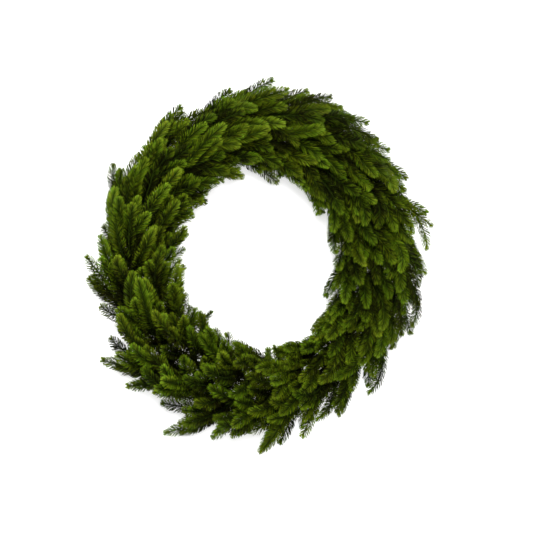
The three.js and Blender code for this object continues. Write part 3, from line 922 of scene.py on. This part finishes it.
def needle_places(wiring, curve):
    """A point for each needle, which holds its tone, hue, bend, turn and length."""
    given = wiring.given
    close = wiring.math("DIVIDE", given["Needle spacing"], CROWDING)
    sown = wiring.add("GeometryNodeResampleCurve", {"Curve": curve, "Length": close},
                      mode="LENGTH").outputs[0]
    tangent, side, out = twig_axes(wiring)
    from_start = wiring.add("GeometryNodeSplineParameter").outputs["Length"]
    whole = wiring.add("GeometryNodeSplineLength").outputs["Length"]
    to_end = wiring.math("SUBTRACT", whole, from_start)
    index = wiring.add("GeometryNodeInputIndex").outputs[0]
    extra = wiring.math("MODULO", index, CROWDING)

    # two of three places stay bare, except at the crowded tip, and so does each shoot's foot
    far = wiring.math("GREATER_THAN", to_end, given["Crowded tip"])
    thinned = wiring.math("GREATER_THAN", wiring.math("MULTIPLY", extra, far), 0.5)
    bare = wiring.math("MAXIMUM", wiring.math("LESS_THAN", wiring.fact("leafy"), 0.5), thinned)

    # a needle leans further forward near the tip, and above and below the twig
    radial = way_round(wiring, side, out, index, extra)
    flat = wiring.math("ABSOLUTE", wiring.dot(radial, side))
    near_tip = wiring.math("SQRT", wiring.ranged(to_end, from_max=given["Tip taper"]))
    fan = wiring.ranged(to_end, from_max=given["Crowded tip"], to_min=1.0, to_max=0.0)
    fan = wiring.math("MULTIPLY", fan, wiring.random(*FAN_SCATTER, salt=6))
    fan = wiring.math("ADD", fan, 1.0)
    closing = wiring.ranged(near_tip, to_min=TIP_PITCH)
    flatter = wiring.ranged(flat, to_min=UPPER_PITCH)
    pitch = wiring.math("MULTIPLY", given["Needle pitch"], closing)
    pitch = wiring.math("MULTIPLY", pitch, wiring.math("MULTIPLY", flatter, fan))
    pitch = wiring.math("ADD", pitch, wiring.random(-PITCH_SCATTER, PITCH_SCATTER, salt=2))
    way = wiring.vector("ADD", wiring.scaled(tangent, wiring.math("COSINE", pitch)),
                        wiring.scaled(radial, wiring.math("SINE", pitch)))

    length = wiring.math("MULTIPLY", given["Needle length"],
                         wiring.ranged(flat, to_min=UPPER_LENGTH))
    length = wiring.math("MULTIPLY", length, wiring.ranged(near_tip, to_min=TIP_LENGTH))
    length = wiring.math("MULTIPLY", length, wiring.random(*LENGTH_SCATTER, salt=3))
    bend = wiring.vector("SUBTRACT", tangent, wiring.scaled(way, wiring.dot(tangent, way)))
    bend = wiring.scaled(bend, wiring.math("MULTIPLY", length, given["Needle bend"]))
    root = wiring.scaled(radial, wiring.math("MULTIPLY", wiring.fact("girth"), ROOT_DEPTH))

    # the facts are kept before a point moves or goes, because they depend on the whole line
    sown = wiring.kept(sown, "tone", needle_tone(wiring, to_end))
    sown = wiring.kept(sown, "hue", wiring.random(0.0, 1.0, salt=5))
    sown = wiring.kept(sown, "needle_bend", bend, "FLOAT_VECTOR")
    sown = wiring.kept(sown, "needle_turn", wiring.turned(way, out), "QUATERNION")
    sown = wiring.kept(sown, "needle_length", length)
    sown = wiring.kept(sown, "bare", bare)
    sown = wiring.add("GeometryNodeSetPosition", {"Geometry": sown, "Offset": root}).outputs[0]
    sown = wiring.add("GeometryNodeDeleteGeometry",
                      {"Geometry": sown, "Selection": wiring.fact("bare")},
                      domain="POINT").outputs[0]
    return wiring.kept(sown, "number", wiring.add("GeometryNodeInputIndex").outputs[0])


def above_table(wiring, sown):
    """The needles, with each point that would come below the table top eased up from it."""
    where = wiring.add("ShaderNodeSeparateXYZ",
                       {0: wiring.add("GeometryNodeInputPosition").outputs[0]}).outputs
    depth = wiring.math("MULTIPLY", where["Z"], where["Z"])
    depth = wiring.math("SQRT", wiring.math("ADD", depth, TABLE_CLEARANCE ** 2))
    clear = wiring.math("MULTIPLY", wiring.math("ADD", depth, where["Z"]), 0.5)
    above = wiring.add("ShaderNodeCombineXYZ", {0: where["X"], 1: where["Y"], 2: clear})
    return wiring.add("GeometryNodeSetPosition",
                      {"Geometry": sown, "Position": above.outputs[0]}).outputs[0]


def needle_map(wiring, sown, total):
    """The bake map of the needles: a square grid with a cell for each needle."""
    number = wiring.fact("number")
    cells = wiring.math("CEIL", wiring.math("SQRT", total))
    cell = wiring.math("DIVIDE", 1.0, cells)
    line = wiring.math("FLOOR", wiring.math("MULTIPLY", number, cell))
    corner = wiring.add("ShaderNodeCombineXYZ",
                        {0: wiring.math("MODULO", number, cells), 1: line}).outputs[0]
    spot = wiring.vector("ADD", corner, wiring.fact("spot", "FLOAT_VECTOR"))
    spot = wiring.vector("MULTIPLY", wiring.scaled(spot, cell), (1, NEEDLE_SHARE, 1))
    return wiring.kept(sown, "OFBake", spot, "FLOAT2", "CORNER")


def set_needles(wiring, curve):
    """The needles on all twigs, bent forward and painted."""
    places = needle_places(wiring, curve)
    total = wiring.add("GeometryNodeAttributeDomainSize", {"Geometry": places}, component="CURVE")
    sown = wiring.copies(wiring.given["Needle"],
                         {"Points": places, "Rotation": wiring.fact("needle_turn", "QUATERNION"),
                          "Scale": wiring.fact("needle_length")})
    along = wiring.fact("along")
    curl = wiring.scaled(wiring.fact("needle_bend", "FLOAT_VECTOR"),
                         wiring.math("MULTIPLY", along, along))
    sown = wiring.add("GeometryNodeSetPosition", {"Geometry": sown, "Offset": curl}).outputs[0]
    sown = needle_map(wiring, above_table(wiring, sown), total.outputs["Point Count"])
    sown = wiring.add("GeometryNodeSetShadeSmooth", {"Geometry": sown}).outputs[0]
    return wiring.painted(sown, NEEDLES)


def wood_map(wiring, wood):
    """The bake map of twigs and buds: a cell for each face, in a strip above the needles."""
    total = wiring.add("GeometryNodeAttributeDomainSize", {"Geometry": wood}, component="MESH")
    lines = wiring.math("CEIL", wiring.math("DIVIDE", total.outputs["Face Count"], WOOD_COLUMNS))
    corner = wiring.add("GeometryNodeInputIndex").outputs[0]
    owner = wiring.add("GeometryNodeFaceOfCorner", {"Corner Index": corner}).outputs
    around = wiring.math("MULTIPLY", owner["Index in Face"], math.tau / TWIG_SIDES)
    column = wiring.math("MODULO", owner["Face Index"], WOOD_COLUMNS)
    line = wiring.math("FLOOR", wiring.math("DIVIDE", owner["Face Index"], WOOD_COLUMNS))
    middle = wiring.add("ShaderNodeCombineXYZ", {0: column, 1: line}).outputs[0]
    edge = wiring.add("ShaderNodeCombineXYZ", {0: wiring.math("COSINE", around),
                                               1: wiring.math("SINE", around)}).outputs[0]
    spot = wiring.vector("ADD", middle, wiring.scaled(edge, WOOD_FILL))
    spot = wiring.vector("ADD", spot, (0.5, 0.5, 0))
    height = wiring.math("DIVIDE", WOOD_TOP - NEEDLE_SHARE, lines)
    size = wiring.add("ShaderNodeCombineXYZ", {0: 1 / WOOD_COLUMNS, 1: height}).outputs[0]
    spot = wiring.vector("MULTIPLY", spot, size)
    spot = wiring.vector("ADD", spot, (0, NEEDLE_SHARE + WOOD_GAP, 0))
    return wiring.kept(wood, "OFBake", spot, "FLOAT2", "CORNER")


def spray_tree():
    """Draws the twigs along a spray's lines and sets needles and buds on them."""
    inputs = [(label, "Float") for label in SPRAY_SIZES]
    inputs += [("Needle", "Object"), ("Bud", "Object"), ("Seed", "Int")]
    tree = new_tree("fir_spray", inputs)
    wiring = SprayWiring(tree)
    curve = wiring.add("GeometryNodeMeshToCurve", {"Mesh": wiring.given["Geometry"]}).outputs[0]
    wood = wood_map(wiring, wiring.joined(drawn_twigs(wiring, curve), set_buds(wiring, curve)))
    spray = wiring.joined(wood, set_needles(wiring, curve))
    spray = wiring.add("GeometryNodeRealizeInstances", {"Geometry": spray}).outputs[0]
    for name in HELPER_FACTS:
        spray = wiring.add("GeometryNodeRemoveAttribute",
                           {"Geometry": spray, "Name": name}).outputs[0]
    wiring.add("NodeGroupOutput", {"Geometry": spray})
    return tree


SPRAY_TREE = spray_tree()
SEED_STEP = 10

for bunch in range(BUNCHES):
    for row in range(len(ROWS)):
        name = "spray_%02d_%s" % (bunch + 1, ROWS[row]["name"])
        lines, facts = spray_lines(spray_plan(bunch, row))
        seed = SEED_STEP * (len(ROWS) * bunch + row)
        middle_lines = line_object(name + "_lines", lines, facts)
        piece = mesh_from_tree("fir_" + name, middle_lines, SPRAY_TREE,
                               SPRAY_SIZES | {"Needle": needle_pattern, "Bud": bud_pattern,
                                              "Seed": seed})
        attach(piece, "root")
        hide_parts(name)

bpy.data.objects.remove(needle_pattern)
bpy.data.objects.remove(bud_pattern)

# --- The table top, the light and the camera ---------------------------------------------------
# The wreath lies on a plain pale surface, lit by a large soft light from the upper left, and the
# camera looks down on it from above and a little to the left.

FLOOR_SIZE = 24
FLOOR_GREY = (0.65, 0.65, 0.65, 1)
FLOOR_GLOW = 0.60
SURROUND_LIGHT = 0.95
WHITE = (1, 1, 1, 1)

bpy.ops.mesh.primitive_plane_add(size=FLOOR_SIZE)
floor = bpy.context.object
floor.name = "floor"
floor_paint, floor_wiring, floor_surface = new_material("white_floor")
floor_wiring.feed(floor_surface, {"Base Color": FLOOR_GREY, "Roughness": 0.9,
                                  "Emission Color": WHITE, "Emission Strength": FLOOR_GLOW})
floor.data.materials.append(floor_paint)

world = bpy.data.worlds.new("studio")
world.use_nodes = True
world.node_tree.nodes["Background"].inputs["Color"].default_value = WHITE
world.node_tree.nodes["Background"].inputs["Strength"].default_value = SURROUND_LIGHT
bpy.context.scene.world = world

LIGHT_PLACE = Vector((-1.1, 1.0, 2.5))
LIGHT_SIZE = 1.2
LIGHT_POWER = 150

lamp = bpy.data.lights.new("key_light", "AREA")
lamp.size = LIGHT_SIZE
lamp.energy = LIGHT_POWER
light = bpy.data.objects.new("key_light", lamp)
bpy.context.scene.collection.objects.link(light)
light.location = LIGHT_PLACE
light.rotation_euler = (-LIGHT_PLACE).to_track_quat("-Z", "Y").to_euler()

CAMERA_SIDE = math.radians(25)
CAMERA_DISTANCE = 2.31
CAMERA_TARGET = Vector((0.010, -0.003, 0.045))
LENS = 94.5

away = Vector((-math.sin(CAMERA_SIDE), 0, math.cos(CAMERA_SIDE)))
right = Vector((math.cos(CAMERA_SIDE), 0, math.sin(CAMERA_SIDE)))
upright = Vector((0, 1, 0))
camera_data = bpy.data.cameras.new("camera")
camera_data.lens = LENS
camera = bpy.data.objects.new("camera", camera_data)
bpy.context.scene.collection.objects.link(camera)
camera_turn = Matrix((right, upright, away)).transposed().to_4x4()
camera.matrix_world = Matrix.Translation(CAMERA_TARGET + away * CAMERA_DISTANCE) @ camera_turn
bpy.context.scene.camera = camera
bpy.context.scene.view_settings.view_transform = "Standard"
